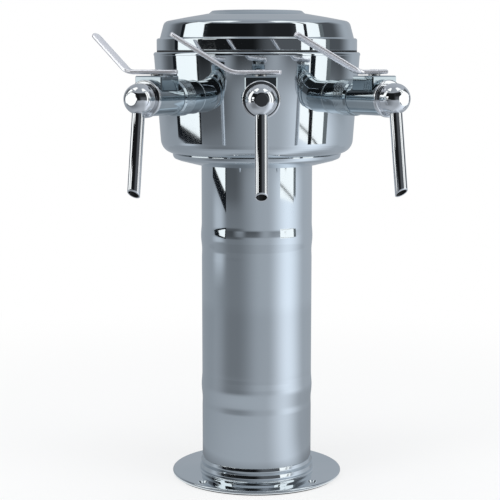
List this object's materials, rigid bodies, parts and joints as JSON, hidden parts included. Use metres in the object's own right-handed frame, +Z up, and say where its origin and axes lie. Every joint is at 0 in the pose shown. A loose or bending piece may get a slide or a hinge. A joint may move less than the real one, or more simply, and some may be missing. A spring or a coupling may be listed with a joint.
{
  "type": "beer tower dispenser",
  "caption": "Round polished column on a flange, with a wide lidded head carrying lever-operated ball-valve taps with slanted spouts.",
  "frame": {"origin": "column axis on the surface that the tower stands on, the centre of the fixing circle", "axes": "+Z up along the column, -Y out along the middle tap, +X to the right as seen from the taps"},
  "size_m": [0.2631, 0.2955, 0.4298],
  "materials": {
    "tower_steel": "mirror polished stainless steel",
    "tap_chrome": "bright chrome plate",
    "lever_chrome": "bright chrome plate on a bent flat bar",
    "spout_steel": "polished stainless tube",
    "plain_steel": "plain machined stainless steel",
    "brass": "machined brass",
    "seal_rubber": "matt black rubber",
    "white_plastic": "machined white plastic",
    "line_plastic": "smooth clear-grey tubing",
    "foam": "closed-cell foam"
  },
  "bodies": {
    "tower": {"base_seal": "seal_rubber", "base_flange": "tower_steel", "column_tube": "tower_steel", "column_foam": "foam", "line_spacers": "white_plastic", "coolant_loop": "plain_steel", "neck_ring": "tower_steel", "head_bowl": "tower_steel", "clamp_ring": "plain_steel", "clamp_screws": "plain_steel", "head_lid": "tower_steel", "lid_seal": "seal_rubber", "wall_washers": "white_plastic", "lock_nuts": "brass", "tap_gaskets": "seal_rubber", "stem_seals": "seal_rubber", "product_line_left": "line_plastic", "product_line_centre": "line_plastic", "product_line_right": "line_plastic", "shank_left": "brass", "shank_centre": "brass", "shank_right": "brass", "wall_collar_left": "tap_chrome", "wall_collar_centre": "tap_chrome", "wall_collar_right": "tap_chrome", "coupling_nut_left": "tap_chrome", "coupling_nut_centre": "tap_chrome", "coupling_nut_right": "tap_chrome", "tap_body_left": "tap_chrome", "tap_body_centre": "tap_chrome", "tap_body_right": "tap_chrome", "valve_seats_left": "white_plastic", "valve_seats_centre": "white_plastic", "valve_seats_right": "white_plastic", "cap_ring_left": "tap_chrome", "cap_ring_centre": "tap_chrome", "cap_ring_right": "tap_chrome", "outlet_cap_left": "tap_chrome", "outlet_cap_centre": "tap_chrome", "outlet_cap_right": "tap_chrome", "spout_left": "spout_steel", "spout_centre": "spout_steel", "spout_right": "spout_steel"},
    "lever_left_body": {"valve_ball_left": "plain_steel", "valve_stem_left": "plain_steel", "lever_left": "lever_chrome", "lever_screw_left": "plain_steel"},
    "lever_centre_body": {"valve_ball_centre": "plain_steel", "valve_stem_centre": "plain_steel", "lever_centre": "lever_chrome", "lever_screw_centre": "plain_steel"},
    "lever_right_body": {"valve_ball_right": "plain_steel", "valve_stem_right": "plain_steel", "lever_right": "lever_chrome", "lever_screw_right": "plain_steel"}
  },
  "joints": [
    {"name": "lever_turn_left", "type": "hinge", "parent": "tower", "child": "lever_left_body", "pos_m": [-0.08418, -0.13846, 0.3734], "axis": [0, 0, 1], "range_deg": [0, 90]},
    {"name": "lever_turn_centre", "type": "hinge", "parent": "tower", "child": "lever_centre_body", "pos_m": [0, -0.16204, 0.3734], "axis": [0, 0, 1], "range_deg": [0, 90]},
    {"name": "lever_turn_right", "type": "hinge", "parent": "tower", "child": "lever_right_body", "pos_m": [0.0941, -0.13192, 0.3734], "axis": [0, 0, 1], "range_deg": [0, 90]}
  ]
}
